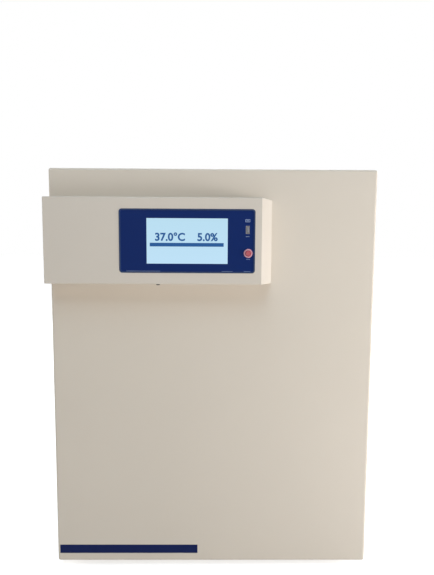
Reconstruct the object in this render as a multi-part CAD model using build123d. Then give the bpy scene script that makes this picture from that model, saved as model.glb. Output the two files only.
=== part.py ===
from build123d import *
import math
import os

os.makedirs("parts", exist_ok=True)

# A bench-top carbon dioxide incubator: an insulated cabinet, a steel outer door with a control box on it,
# an inner glass door, and a coved steel chamber with shelves, a water tray and a fan behind an air duct.
# Sizes are in millimetres. The front faces -Y, +X is the right side seen from the front, and +Z is up.
# The origin is on the bench, under the middle of the whole depth.

# Outer sizes
cabinet_width = 650.0
cabinet_height = 817.0
cabinet_depth = 580.0
foot_height = 16.0
door_depth = 62.0
door_gap = 12.0
console_depth = 40.0
button_proud = 3.0
spacer_depth = 40.0

# Sheet metal of the cabinet
panel_wall = 1.2
panel_return = 25.0
panel_bend = 3.0
back_panel_margin = 7.0
back_panel_corner = 4.0

# Walls between the outside and the chamber
side_wall = 75.0
floor_wall = 84.0
ceiling_wall = 93.0
rear_wall = 100.0
liner_wall = 1.2
cove_radius = 18.0
rear_insulation_depth = 56.0

# Clearance round a part that slides or turns freely, and the tighter one at a pin
running_clearance = 0.3
pin_clearance = 0.05

# Points nearer than this count as in one place
same_place = 0.01

# Planes that follow from the sizes above
overall_depth = button_proud + console_depth + door_depth + door_gap + cabinet_depth + spacer_depth
rear_y = overall_depth / 2
body_rear = rear_y - spacer_depth
body_front = body_rear - cabinet_depth
door_back = body_front - door_gap
door_front = door_back - door_depth
console_front = door_front - console_depth
half_width = cabinet_width / 2
body_bottom = foot_height
body_top = foot_height + cabinet_height
body_middle = (body_bottom + body_top) / 2
frame_back = body_rear - panel_wall
side_inner = half_width - panel_wall
chamber_width = cabinet_width - 2 * side_wall
chamber_half = chamber_width / 2
chamber_bottom = body_bottom + floor_wall
chamber_top = body_top - ceiling_wall
chamber_height = chamber_top - chamber_bottom
chamber_middle = (chamber_bottom + chamber_top) / 2
chamber_rear = body_rear - rear_wall
rear_board_front = chamber_rear + liner_wall
rear_board_back = rear_board_front + rear_insulation_depth


def save(name, shape):
    """Write the one solid of a piece under its own name."""
    export_step(max(shape.solids(), key=lambda solid: solid.volume), f"parts/{name}.step")


def block(x0, x1, y0, y1, z0, z1):
    """A box between two corners."""
    middle = ((x0 + x1) / 2, (y0 + y1) / 2, (z0 + z1) / 2)
    return Pos(*middle) * Box(abs(x1 - x0), abs(y1 - y0), abs(z1 - z0))


def upright(outline, x, z, y_front, y_back):
    """A flat outline that faces the front, from one depth to another."""
    plane = Plane(origin=(x, y_back, z), x_dir=(1, 0, 0), z_dir=(0, -1, 0))
    return extrude(plane * outline, y_back - y_front)


def level(outline, x, y, z_low, z_high):
    """A flat outline that lies level, from one height to another."""
    return extrude(Pos(x, y, z_low) * outline, z_high - z_low)


def sideways(outline, y, z, x_low, x_high):
    """A flat outline that faces the side, from one side to another."""
    plane = Plane(origin=(x_low, y, z), x_dir=(0, 1, 0), z_dir=(1, 0, 0))
    return extrude(plane * outline, x_high - x_low)


def post(radius, x, y, z_low, z_high):
    """A round post."""
    return level(Circle(radius), x, y, z_low, z_high)


def rod(radius, x, z, y_front, y_back):
    """A round rod along the depth."""
    return upright(Circle(radius), x, z, y_front, y_back)


def round_but(shape, axis, position, radius):
    """Round every edge that doesn't lie in the plane at this position along the axis."""
    kept = shape.edges().filter_by(
        lambda edge: abs(axis_value(edge.center(), axis) - position) > same_place)
    return fillet(kept, radius)


def axis_value(point, axis):
    """One coordinate of a point."""
    return {"x": point.X, "y": point.Y, "z": point.Z}[axis]


# Cabinet panels, bent inwards at the front and at the back

frame_depth = frame_back - body_front
frame_middle = (frame_back + body_front) / 2


def bent_loop(width, depth):
    """Outline of a sheet bent round a rectangle."""
    outer = RectangleRounded(width, depth, panel_bend)
    inner = RectangleRounded(width - 2 * panel_wall, depth - 2 * panel_wall, panel_bend - panel_wall)
    return outer - inner


def side_panel(side):
    """A side wall with its front and rear returns."""
    shell = level(bent_loop(cabinet_width, frame_depth), 0, frame_middle, body_bottom, body_top)
    reach = half_width - panel_return
    return shell & block(side * reach, side * half_width, body_front, frame_back, body_bottom, body_top)


def level_panel(z_low, z_high):
    """A top or base sheet between the side walls, with returns between theirs."""
    shell = sideways(bent_loop(frame_depth, cabinet_height), frame_middle, body_middle,
                     -side_inner, side_inner)
    shell = shell & block(-half_width, half_width, body_front, frame_back, z_low, z_high)
    reach = half_width - panel_return
    for side in (-1, 1):
        for lip in (body_front, frame_back - panel_bend):
            shell = shell - block(side * reach, side * half_width, lip, lip + panel_bend, z_low, z_high)
    return shell


# Levelling feet and the threaded bosses that hold them

foot_radius = 22.0
foot_neck_radius = 17.0
foot_edge = 2.0
foot_inset = 50.0
foot_setback = 70.0
foot_stem_radius = 5.0
foot_travel = 12.0
foot_thread_grip = 22.0
boss_radius = 11.0
boss_height = 36.0
boss_room = 0.5

foot_stem_length = foot_travel + foot_thread_grip
foot_x = half_width - foot_inset
foot_y_front = body_front + foot_setback
foot_y_rear = frame_back - foot_setback
foot_places = {
    "foot_front_left": (-foot_x, foot_y_front),
    "foot_front_right": (foot_x, foot_y_front),
    "foot_rear_left": (-foot_x, foot_y_rear),
    "foot_rear_right": (foot_x, foot_y_rear),
}


def foot(x, y):
    """A round pad on a screw stem that goes up into its boss."""
    pad = Pos(x, y, 0) * Cone(foot_radius, foot_neck_radius, foot_height,
                              align=(Align.CENTER, Align.CENTER, Align.MIN))
    pad = fillet(pad.edges().filter_by(GeomType.CIRCLE).sort_by(Axis.Z)[0], foot_edge)
    return pad + post(foot_stem_radius, x, y, foot_height, foot_height + foot_stem_length)


def base_pan():
    """The base sheet with a boss over each foot."""
    pan = level_panel(body_bottom, body_bottom + panel_return)
    boss_top = body_bottom + boss_height
    for x, y in foot_places.values():
        pan = pan + post(boss_radius, x, y, body_bottom, boss_top)
    for x, y in foot_places.values():
        pan = pan - post(foot_stem_radius + running_clearance, x, y, body_bottom, boss_top)
    return pan


save("side_panel_left", side_panel(-1))
save("side_panel_right", side_panel(1))
save("top_panel", level_panel(body_top - panel_return, body_top))
save("base_pan", base_pan())
for foot_name, (place_x, place_y) in foot_places.items():
    save(foot_name, foot(place_x, place_y))


# What passes through the rear wall: the access port, the sensor and the fan's shaft

port_inset = 55.0
port_drop = 170.0
port_bore = 21.0
port_wall = 3.5
port_flange = 8.0
port_flange_wall = 2.0
port_rear_reach = 6.0

sensor_inset = 55.0
sensor_drop = 130.0
sensor_radius = 10.0

fan_drop = 130.0
shaft_radius = 4.0
shaft_room = 3.0

port_x = port_inset - chamber_half
port_z = chamber_top - port_drop
port_outer = port_bore + port_wall
sensor_x = chamber_half - sensor_inset
sensor_z = chamber_top - sensor_drop
fan_z = chamber_top - fan_drop


def rear_holes(y_front, y_back):
    """The cuts for what passes through the rear wall."""
    cuts = rod(port_outer, port_x, port_z, y_front, y_back)
    cuts = cuts + rod(sensor_radius, sensor_x, sensor_z, y_front, y_back)
    return cuts + rod(shaft_radius + shaft_room, 0, fan_z, y_front, y_back)


# Insulation: five boards between the liner and the panels, clear of the panels' bends

foam_bottom = body_bottom + panel_wall
foam_top = body_top - panel_wall
foam_front = body_front + panel_bend
liner_side = chamber_half + liner_wall
liner_bottom = chamber_bottom - liner_wall
liner_top = chamber_top + liner_wall

boards = {
    "insulation_left": block(-side_inner, -liner_side, foam_front, rear_board_front, foam_bottom, foam_top),
    "insulation_right": block(liner_side, side_inner, foam_front, rear_board_front, foam_bottom, foam_top),
    "insulation_top": block(-liner_side, liner_side, foam_front, rear_board_front, liner_top, foam_top),
    "insulation_bottom": block(-liner_side, liner_side, foam_front, rear_board_front, foam_bottom,
                               liner_bottom),
    "insulation_rear": block(-side_inner, side_inner, rear_board_front, rear_board_back, foam_bottom,
                             foam_top) - rear_holes(rear_board_front, rear_board_back),
}
pocket_top = body_bottom + max(boss_height, foot_stem_length) + boss_room
for board_name, board in boards.items():
    for place_x, place_y in foot_places.values():
        board = board - post(boss_radius + boss_room, place_x, place_y, foam_bottom, pocket_top)
    save(board_name, board)


# Chamber liner: a coved steel box with a flat flange round its mouth

def chamber_box(grow, y_front):
    """The chamber's volume, or the liner's outside when grown by its wall."""
    shape = block(-chamber_half - grow, chamber_half + grow, y_front, chamber_rear + grow,
                  chamber_bottom - grow, chamber_top + grow)
    return round_but(shape, "y", y_front, cove_radius + grow)


mouth_room = 5.0
flange = upright(Rectangle(cabinet_width - 2 * panel_return, cabinet_height - 2 * panel_return),
                 0, body_middle, body_front, body_front + liner_wall)
chamber_liner = chamber_box(liner_wall, body_front) + flange - chamber_box(0, body_front - mouth_room)
chamber_liner = chamber_liner - rear_holes(chamber_rear - mouth_room, rear_board_front)
save("chamber_liner", chamber_liner)


# Inner gasket, glass door, its lift-off hinges, catch and knob

inner_gasket_depth = 6.0
inner_gasket_width = 9.0
inner_gasket_inset = 3.0
glass_wall = 6.0
glass_overlap = 15.0
glass_corner = 12.0

glass_back = body_front - inner_gasket_depth
glass_front = glass_back - glass_wall
glass_half = chamber_half + glass_overlap


def ring(inner_width, inner_height, width, inner_radius):
    """A flat ring of even width with rounded corners."""
    outer = RectangleRounded(inner_width + 2 * width, inner_height + 2 * width, inner_radius + width)
    return outer - RectangleRounded(inner_width, inner_height, inner_radius)


save("inner_gasket", upright(
    ring(chamber_width + 2 * inner_gasket_inset, chamber_height + 2 * inner_gasket_inset,
         inner_gasket_width, cove_radius), 0, chamber_middle, glass_back, body_front))
save("glass_door", upright(
    RectangleRounded(2 * glass_half, chamber_height + 2 * glass_overlap, glass_corner),
    0, chamber_middle, glass_front, glass_back))

dish_margin = 23.0
glass_hinge_room = 4.0
glass_hinge_inset = 60.0
glass_knuckle_radius = 5.0
glass_knuckle_height = 24.0
glass_pin_radius = 2.0
glass_pin_short = 2.0
glass_plate_wall = 3.0
glass_plate_left = 11.0
glass_plate_right = 8.0
clamp_wall = 4.0
clamp_cover = 25.0
clamp_edge_room = 1.0
clamp_heel = 2.5
clamp_round = 1.5
glass_web_inset = 1.0

dish_half = half_width - dish_margin
glass_hinge_x = dish_half - glass_hinge_room - glass_plate_right
glass_hinge_y = (glass_front + glass_back) / 2
glass_hinge_places = {
    "lower": chamber_bottom + glass_hinge_inset,
    "upper": chamber_top - glass_hinge_inset - 2 * glass_knuckle_height,
}


def glass_hinge(z_low):
    """The fixed half: a plate on the flange, a knuckle and the pin."""
    middle = z_low + glass_knuckle_height
    z_high = middle + glass_knuckle_height
    plate = block(glass_hinge_x - glass_plate_left, glass_hinge_x + glass_plate_right,
                  body_front - glass_plate_wall, body_front, z_low, z_high)
    web_half = glass_knuckle_radius - glass_web_inset
    web = block(glass_hinge_x - web_half, glass_hinge_x + web_half, glass_hinge_y,
                body_front - glass_plate_wall, z_low, middle)
    knuckle = post(glass_knuckle_radius, glass_hinge_x, glass_hinge_y, z_low, middle)
    pin = post(glass_pin_radius, glass_hinge_x, glass_hinge_y, middle, z_high - glass_pin_short)
    return plate + web + knuckle + pin


def glass_clamp(z_low):
    """The moving half: a clamp bonded to the glass, with the upper knuckle."""
    middle = z_low + glass_knuckle_height
    z_high = middle + glass_knuckle_height
    arm = block(glass_half - clamp_cover, glass_hinge_x, glass_front - clamp_wall, glass_front,
                middle, z_high)
    arm = fillet(arm.edges().filter_by(Axis.Y).group_by(Axis.X)[0], clamp_round)
    heel = block(glass_half + clamp_edge_room, glass_hinge_x, glass_front, glass_hinge_y + clamp_heel,
                 middle, z_high)
    knuckle = post(glass_knuckle_radius, glass_hinge_x, glass_hinge_y, middle, z_high)
    bore = post(glass_pin_radius + pin_clearance, glass_hinge_x, glass_hinge_y, middle, z_high)
    return arm + heel + knuckle - bore


for hinge_name, hinge_z in glass_hinge_places.items():
    save(f"glass_hinge_{hinge_name}", glass_hinge(hinge_z))
    save(f"glass_clamp_{hinge_name}", glass_clamp(hinge_z))

catch_room = 16.0
catch_gap = 3.0
catch_half_height = 20.0
knob_plate_wall = 1.5
knob_plate_cover = 27.0
knob_plate_half_height = 16.0
knob_radius = 11.0
knob_neck_radius = 6.5
knob_neck_length = 7.0
knob_head_length = 6.0
knob_round = 2.0

catch_outer = dish_half - catch_room
save("glass_catch", block(-catch_outer, -glass_half - catch_gap, glass_front, body_front,
                          chamber_middle - catch_half_height, chamber_middle + catch_half_height))


def glass_knob():
    """A steel strap bonded to the glass, which the catch holds, with a round knob on it."""
    strap_front = glass_front - knob_plate_wall
    strap_end = knob_plate_cover - glass_half
    strap = block(-catch_outer, strap_end, strap_front, glass_front,
                  chamber_middle - knob_plate_half_height, chamber_middle + knob_plate_half_height)
    knob_x = strap_end - knob_radius
    neck_front = strap_front - knob_neck_length
    neck = rod(knob_neck_radius, knob_x, chamber_middle, neck_front, strap_front)
    head = rod(knob_radius, knob_x, chamber_middle, neck_front - knob_head_length, neck_front)
    head = fillet(head.edges().filter_by(GeomType.CIRCLE), knob_round)
    return strap + neck + head


save("glass_knob", glass_knob())


# Shelf racks, shelves and water tray

duct_depth = 26.0
shelf_count = 3
shelf_pitch = 150.0
first_shelf_rise = 150.0
shelf_wall = 1.5
shelf_edge_room = 2.5
shelf_setback = 30.0
shelf_rear_room = 6.0
shelf_lip = 12.0
rack_post_wall = 7.0
rack_post_width = 22.0
rack_post_setback = 45.0
rack_end_room = 4.0
rack_slot_height = 14.0
rack_slot_width = 6.0
rack_slot_pitch = 36.0
rack_slot_room = 3.0
rail_wall = 2.0
rail_flange_wall = 1.5
rail_height = 12.0
rail_reach = 17.0
rail_front_room = 6.0

rack_inner = chamber_half - rack_post_wall
rail_inner = rack_inner - rail_reach
shelf_half = rack_inner - rail_flange_wall - shelf_edge_room
shelf_front = body_front + shelf_setback
shelf_rear = chamber_rear - duct_depth - shelf_rear_room
shelf_depth = shelf_rear - shelf_front
rail_front = shelf_front + rail_front_room
rail_rear = shelf_rear - rail_front_room
rack_low = chamber_bottom + cove_radius + rack_end_room
rack_high = chamber_top - cove_radius - rack_end_room
shelf_levels = [chamber_bottom + first_shelf_rise + shelf_pitch * step for step in range(shelf_count)]
shelf_names = ["shelf_lower", "shelf_middle", "shelf_upper"]


def shelf_rack(side):
    """Two slotted uprights against the side wall, with an angle rail for each shelf."""
    rack = None
    fronts = (body_front + rack_post_setback,
              shelf_rear - rack_post_setback + shelf_setback - rack_post_width)
    slot_total = int((rack_high - rack_low - rack_slot_pitch) / rack_slot_pitch) + 1
    slot_lows = [rack_low + rack_slot_pitch * (step + 0.5) for step in range(slot_total)]
    slot_lows = [low for low in slot_lows
                 if all(low > shelf_z + rail_height + rack_slot_room
                        or low + rack_slot_height < shelf_z - rail_wall - rack_slot_room
                        for shelf_z in shelf_levels)]
    for front in fronts:
        upright_bar = block(side * rack_inner, side * chamber_half, front, front + rack_post_width,
                            rack_low, rack_high)
        middle = front + rack_post_width / 2
        for low in slot_lows:
            upright_bar = upright_bar - block(side * rack_inner, side * chamber_half,
                                              middle - rack_slot_width / 2, middle + rack_slot_width / 2,
                                              low, low + rack_slot_height)
        rack = upright_bar if rack is None else rack + upright_bar
    for shelf_z in shelf_levels:
        rack = rack + block(side * rail_inner, side * rack_inner, rail_front, rail_rear,
                            shelf_z - rail_wall, shelf_z)
        rack = rack + block(side * (rack_inner - rail_flange_wall), side * rack_inner, rail_front,
                            rail_rear, shelf_z - rail_wall, shelf_z + rail_height)
    return rack


save("shelf_rack_left", shelf_rack(-1))
save("shelf_rack_right", shelf_rack(1))

shelf_slot_length = 44.0
shelf_slot_width = 9.0
shelf_slot_pitch = 51.0
shelf_row_pitch = 43.0
shelf_border = 34.0
rear_lip_room = 4.0


def shelf(shelf_z):
    """A slotted steel shelf with its front and rear edges folded down."""
    sheet_top = shelf_z + shelf_wall
    sheet = block(-shelf_half, shelf_half, shelf_front, shelf_rear, shelf_z, sheet_top)
    sheet = sheet + block(-shelf_half, shelf_half, shelf_front, shelf_front + shelf_wall,
                          sheet_top - shelf_lip, sheet_top)
    rear_half = rail_inner - rear_lip_room
    sheet = sheet + block(-rear_half, rear_half, shelf_rear - shelf_wall, shelf_rear,
                          sheet_top - shelf_lip, sheet_top)
    columns = int(2 * (shelf_half - shelf_border) / shelf_slot_pitch)
    rows = int((shelf_depth - 2 * shelf_border) / shelf_row_pitch)
    places = GridLocations(shelf_slot_pitch, shelf_row_pitch, columns, rows)
    cuts = Sketch() + [place * Rectangle(shelf_slot_length, shelf_slot_width) for place in places]
    return sheet - level(cuts, 0, (shelf_front + shelf_rear) / 2, shelf_z, sheet_top)


for shelf_name, shelf_z in zip(shelf_names, shelf_levels):
    save(shelf_name, shelf(shelf_z))

tray_side_room = 50.0
tray_rear_room = 28.0
tray_height = 42.0
tray_wall = 1.2
tray_corner = 24.0
tray_floor_round = 8.0
tray_rim = 6.0
tray_setback = 46.0

tray_width = chamber_width - 2 * tray_side_room
tray_front = body_front + tray_setback
tray_rear = chamber_rear - duct_depth - tray_rear_room
tray_depth = tray_rear - tray_front
tray_middle = (tray_front + tray_rear) / 2


def tray_body(shrink):
    """The tray's outside, or its inside when shrunk by the wall."""
    outline = RectangleRounded(tray_width - 2 * shrink, tray_depth - 2 * shrink, tray_corner - shrink)
    shape = level(outline, 0, tray_middle, chamber_bottom + shrink, chamber_bottom + tray_height)
    return fillet(shape.edges().group_by(Axis.Z)[0], tray_floor_round - shrink)


rim_outline = RectangleRounded(tray_width + 2 * tray_rim, tray_depth + 2 * tray_rim, tray_corner + tray_rim)
tray_top = chamber_bottom + tray_height
water_tray = tray_body(0) + level(rim_outline, 0, tray_middle, tray_top - tray_wall, tray_top)
save("water_tray", water_tray - tray_body(tray_wall))


# Air duct with its fan and motor

duct_side_room = 100.0
duct_wall = 1.2
duct_round = 8.0
duct_rise = 60.0
duct_drop = 24.0
inlet_radius = 48.0
inlet_slot = 6.0
inlet_pitch = 14.0
outlet_slot = 8.0
outlet_length = 60.0
outlet_pitch = 26.0
outlet_border = 42.0
outlet_rise = 30.0

duct_width = chamber_width - 2 * duct_side_room
duct_front = chamber_rear - duct_depth
duct_low = chamber_bottom + duct_rise
duct_high = chamber_top - duct_drop


def duct_box(shrink):
    """The duct's outside, or its inside when shrunk by the wall."""
    shape = block(shrink - duct_width / 2, duct_width / 2 - shrink, duct_front + shrink, chamber_rear,
                  duct_low + shrink, duct_high - shrink)
    return round_but(shape, "y", chamber_rear, duct_round - shrink)


def air_duct_panel():
    """A dished panel with an inlet grille before the fan and a row of outlets below."""
    panel = duct_box(0) - duct_box(duct_wall)
    slot_back = duct_front + duct_wall
    steps = int(inlet_radius / inlet_pitch)
    for step in range(-steps, steps + 1):
        rise = step * inlet_pitch
        reach = math.sqrt(inlet_radius ** 2 - rise ** 2)
        panel = panel - block(-reach, reach, duct_front, slot_back, fan_z + rise - inlet_slot / 2,
                              fan_z + rise + inlet_slot / 2)
    outlet_count = int((duct_width - 2 * outlet_border) / outlet_pitch) + 1
    for step in range(outlet_count):
        middle = (step - (outlet_count - 1) / 2) * outlet_pitch
        panel = panel - block(middle - outlet_slot / 2, middle + outlet_slot / 2, duct_front, slot_back,
                              duct_low + outlet_rise, duct_low + outlet_rise + outlet_length)
    return panel


save("air_duct_panel", air_duct_panel())

wheel_radius = 55.0
wheel_inner_radius = 34.0
wheel_depth = 15.0
wheel_disc_wall = 1.5
wheel_rear_room = 3.5
hub_radius = 12.0
blade_count = 12
blade_wall = 1.6
blade_sweep = 32.0
blade_bend = 0.62
shaft_seat = 12.0
motor_radius = 32.0
motor_length = 34.0
motor_flange = 84.0
motor_flange_wall = 3.0
motor_corner = 8.0

disc_back = chamber_rear - wheel_rear_room
disc_front = disc_back - wheel_disc_wall
wheel_front = disc_front - wheel_depth


def polar(radius, angle):
    """A point at this radius and angle."""
    turn = math.radians(angle)
    return (radius * math.cos(turn), radius * math.sin(turn))


def blade_outline(start):
    """One backward-curved blade as a thin bent strip."""
    middle_radius = (wheel_inner_radius + wheel_radius) / 2
    stations = ((wheel_inner_radius, 0), (middle_radius, blade_bend * blade_sweep),
                (wheel_radius, blade_sweep))
    thick = math.degrees(blade_wall / middle_radius)
    lower = [polar(radius, start + angle) for radius, angle in stations]
    upper = [polar(radius, start + angle + thick) for radius, angle in stations]
    edges = [ThreePointArc(*lower), Line(lower[2], upper[2]), ThreePointArc(*reversed(upper)),
             Line(upper[0], lower[0])]
    return make_face(edges)


def fan_impeller():
    """The wheel with curved blades on a disc, and its shaft."""
    wheel = rod(wheel_radius, 0, fan_z, disc_front, disc_back)
    wheel = wheel + rod(hub_radius, 0, fan_z, wheel_front, disc_front)
    for step in range(blade_count):
        blade = blade_outline(step * 360 / blade_count)
        wheel = wheel + upright(blade, 0, fan_z, wheel_front, disc_front)
    return wheel + rod(shaft_radius, 0, fan_z, disc_back, rear_board_back + shaft_seat)


def fan_motor():
    """The motor behind the rear board, with the bore that carries the shaft."""
    flange_plate = upright(RectangleRounded(motor_flange, motor_flange, motor_corner), 0, fan_z,
                           rear_board_back, rear_board_back + motor_flange_wall)
    can = rod(motor_radius, 0, fan_z, rear_board_back, rear_board_back + motor_length)
    bore = rod(shaft_radius + pin_clearance, 0, fan_z, rear_board_back,
               rear_board_back + shaft_seat + running_clearance)
    return flange_plate + can - bore


save("fan_impeller", fan_impeller())
save("fan_motor", fan_motor())

sensor_reach = 16.0
sensor_collar = 5.0
sensor_collar_wall = 3.0
sensor_tail = 14.0
sensor_tip_round = 3.0

sensor_tip = rod(sensor_radius, sensor_x, sensor_z, chamber_rear - sensor_reach,
                 rear_board_back + sensor_tail)
sensor_tip = fillet(sensor_tip.edges().filter_by(GeomType.CIRCLE).sort_by(Axis.Y)[0], sensor_tip_round)
save("co2_sensor", sensor_tip + rod(sensor_radius + sensor_collar, sensor_x, sensor_z,
                                    chamber_rear - sensor_collar_wall, chamber_rear))


# Access port: a sleeve through the rear wall with a soft stopper

stopper_travel = 60.0
stopper_pull_room = 16.0
stopper_taper = 1.2
stopper_head_radius = 28.0
stopper_head_length = 12.0
stopper_round = 3.0

stopper_length = stopper_travel - stopper_pull_room
sleeve_front = chamber_rear - port_flange_wall
sleeve_back = body_rear + port_rear_reach
port_sleeve = rod(port_outer, port_x, port_z, sleeve_front, sleeve_back)
port_sleeve = port_sleeve + rod(port_outer + port_flange, port_x, port_z, sleeve_front, chamber_rear)
save("port_sleeve", port_sleeve - rod(port_bore, port_x, port_z, sleeve_front, sleeve_back))


def port_stopper():
    """A tapered plug with a round head that rests on the sleeve's end."""
    wide = port_bore - running_clearance
    plane = Plane(origin=(port_x, sleeve_back, port_z), x_dir=(1, 0, 0), z_dir=(0, -1, 0))
    plug = plane * Cone(wide, wide - stopper_taper, stopper_length,
                        align=(Align.CENTER, Align.CENTER, Align.MIN))
    head = rod(stopper_head_radius, port_x, port_z, sleeve_back, sleeve_back + stopper_head_length)
    head = fillet(head.edges().filter_by(GeomType.CIRCLE).sort_by(Axis.Y)[-1], stopper_round)
    return plug + head


save("port_stopper", port_stopper())


# Rear compartment: gas inlet and valve, mains inlet and switch, power supply and control board

gas_inset = 85.0
gas_rise = 90.0
gas_stem_radius = 4.0
gas_stem_length = 20.0
gas_nut_radius = 11.0
gas_nut_length = 6.0
gas_thread_radius = 6.5
gas_thread_length = 12.0
valve_width = 40.0
valve_height = 34.0
valve_depth = 24.0
coil_radius = 13.0
coil_height = 34.0

gas_x = gas_inset - half_width
gas_z = body_bottom + gas_rise
gas_inner = frame_back - gas_thread_length
gas_nut_end = body_rear + gas_nut_length
co2_inlet_fitting = upright(RegularPolygon(gas_nut_radius, 6), gas_x, gas_z, body_rear, gas_nut_end)
co2_inlet_fitting = co2_inlet_fitting + rod(gas_stem_radius, gas_x, gas_z, gas_nut_end,
                                            gas_nut_end + gas_stem_length)
save("co2_inlet_fitting", co2_inlet_fitting + rod(gas_thread_radius, gas_x, gas_z, gas_inner, body_rear))

valve_front = gas_inner - valve_depth
valve_body = block(gas_x - valve_width / 2, gas_x + valve_width / 2, valve_front, gas_inner,
                   gas_z - valve_height / 2, gas_z + valve_height / 2)
valve_top = gas_z + valve_height / 2
save("solenoid_valve", valve_body + post(min(coil_radius, valve_depth / 2), gas_x,
                                         gas_inner - valve_depth / 2, valve_top, valve_top + coil_height))

mains_inset = 115.0
mains_rise = 70.0
mains_flange_width = 50.0
mains_flange_height = 32.0
mains_flange_wall = 3.0
mains_body_width = 32.0
mains_body_height = 26.0
mains_body_depth = 20.0
mains_mouth_width = 24.5
mains_mouth_height = 16.8
mains_mouth_depth = 16.0
mains_pin_width = 2.0
mains_pin_height = 4.0
mains_pin_length = 11.0
mains_pin_pitch = 7.0
mains_pin_drop = 2.0
mains_corner = 3.0

mains_x = half_width - mains_inset
mains_z = body_bottom + mains_rise


def mains_inlet():
    """The inlet socket with its three blades set back in the mouth."""
    face = body_rear + mains_flange_wall
    shape = upright(RectangleRounded(mains_flange_width, mains_flange_height, mains_corner), mains_x,
                    mains_z, body_rear, face)
    shape = shape + upright(Rectangle(mains_body_width, mains_body_height), mains_x, mains_z,
                            body_rear - mains_body_depth, body_rear)
    mouth_end = face - mains_mouth_depth
    shape = shape - upright(Rectangle(mains_mouth_width, mains_mouth_height), mains_x, mains_z,
                            mouth_end, face)
    pins = ((-mains_pin_pitch, -mains_pin_drop), (0, mains_pin_drop), (mains_pin_pitch, -mains_pin_drop))
    for pin_x, pin_z in pins:
        shape = shape + upright(Rectangle(mains_pin_width, mains_pin_height), mains_x + pin_x,
                                mains_z + pin_z, mouth_end, mouth_end + mains_pin_length)
    return shape


save("mains_inlet", mains_inlet())

switch_pitch = 60.0
switch_flange_width = 24.0
switch_flange_height = 32.0
switch_flange_wall = 2.0
switch_frame_wall = 2.0
switch_depth = 16.0
rocker_radius = 10.4
rocker_width = 14.0
rocker_face = 5.5
rocker_dish = 10.0
rocker_tilt = 9.0
rocker_sink = 4.0
rocker_pin_radius = 1.5
rocker_pin_length = 1.2

switch_x = mains_x - switch_pitch
switch_face = body_rear + switch_flange_wall
rocker_y = switch_face - rocker_sink
switch_hole_width = rocker_width + 2 * running_clearance
switch_hole_height = 2 * (rocker_radius + running_clearance)
switch_body_width = switch_hole_width + 2 * switch_frame_wall
switch_body_height = switch_hole_height + 2 * switch_frame_wall


def mains_switch_frame():
    """The switch's frame, with a pocket and two pivot holes for the rocker."""
    back = switch_face - switch_depth
    shape = upright(RectangleRounded(switch_flange_width, switch_flange_height, mains_corner), switch_x,
                    mains_z, body_rear, switch_face)
    shape = shape + upright(Rectangle(switch_body_width, switch_body_height), switch_x, mains_z,
                            back, body_rear)
    shape = shape - upright(Rectangle(switch_hole_width, switch_hole_height), switch_x, mains_z,
                            back, switch_face)
    pivot_reach = rocker_width / 2 + rocker_pin_length + running_clearance
    return shape - sideways(Circle(rocker_pin_radius + running_clearance / 2), rocker_y, mains_z,
                            switch_x - pivot_reach, switch_x + pivot_reach)


def mains_switch_rocker():
    """A rocker with a shallow V face, round at the back, tipped to its off side."""
    half = rocker_width / 2
    drop = rocker_radius * math.tan(math.radians(rocker_dish))
    face = make_face(Polyline((-rocker_radius, -rocker_radius), (rocker_face + drop, -rocker_radius),
                              (rocker_face, 0), (rocker_face + drop, rocker_radius),
                              (-rocker_radius, rocker_radius), close=True))
    profile = face & Circle(rocker_radius)
    profile = Rot(0, 0, rocker_tilt) * profile
    rocker = sideways(profile, rocker_y, mains_z, switch_x - half, switch_x + half)
    reach = half + rocker_pin_length
    return rocker + sideways(Circle(rocker_pin_radius), rocker_y, mains_z, switch_x - reach, switch_x + reach)


save("mains_switch_frame", mains_switch_frame())
save("mains_switch_rocker", mains_switch_rocker())

supply_inset = 160.0
supply_width = 110.0
supply_height = 160.0
supply_depth = 34.0
supply_rise = 150.0
supply_round = 1.5
supply_x = half_width - supply_inset
supply_z = body_bottom + supply_rise
power_supply = block(supply_x - supply_width / 2, supply_x + supply_width / 2, frame_back - supply_depth,
                     frame_back, supply_z, supply_z + supply_height)
save("power_supply", fillet(power_supply.edges().filter_by(Axis.Z), supply_round))

circuit_width = 200.0
circuit_height = 140.0
circuit_wall = 1.6
circuit_room = 15.0
standoff_length = 10.0
standoff_radius = 4.0
standoff_inset = 8.0
chip_depth = 4.0
chip_size = 26.0
chip_pitch = 48.0
chip_row_rise = 28.0
relay_depth = 16.0
relay_width = 18.0
relay_height = 30.0

circuit_x = supply_x - supply_width / 2 - circuit_room - circuit_width / 2
circuit_z = supply_z


def control_board():
    """The circuit board on four posts, with a row of chips and a row of relays."""
    front = rear_board_back + standoff_length
    back = front + circuit_wall
    board_middle = circuit_z + circuit_height / 2
    shape = upright(Rectangle(circuit_width, circuit_height), circuit_x, board_middle, front, back)
    reach_x = circuit_width / 2 - standoff_inset
    reach_z = circuit_height / 2 - standoff_inset
    for side in (-1, 1):
        for end in (-1, 1):
            shape = shape + rod(standoff_radius, circuit_x + side * reach_x, board_middle + end * reach_z,
                                rear_board_back, front)
    for step in (-1, 0, 1):
        shape = shape + upright(Rectangle(chip_size, chip_size), circuit_x + step * chip_pitch,
                                board_middle + chip_row_rise, back, back + chip_depth)
        shape = shape + upright(Rectangle(relay_width, relay_height), circuit_x + step * chip_pitch,
                                board_middle - chip_row_rise, back, back + relay_depth)
    return shape


save("control_board", control_board())


# Back panel with its cut-outs and vents, and the wall spacers

vent_width = 70.0
vent_slot = 6.0
vent_pitch = 14.0
vent_count = 6
vent_inset = 110.0
vent_rise = 370.0
spacer_radius = 16.0
spacer_tip_radius = 12.0
spacer_round = 2.0
spacer_inset = 85.0
spacer_drop = 90.0


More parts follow.
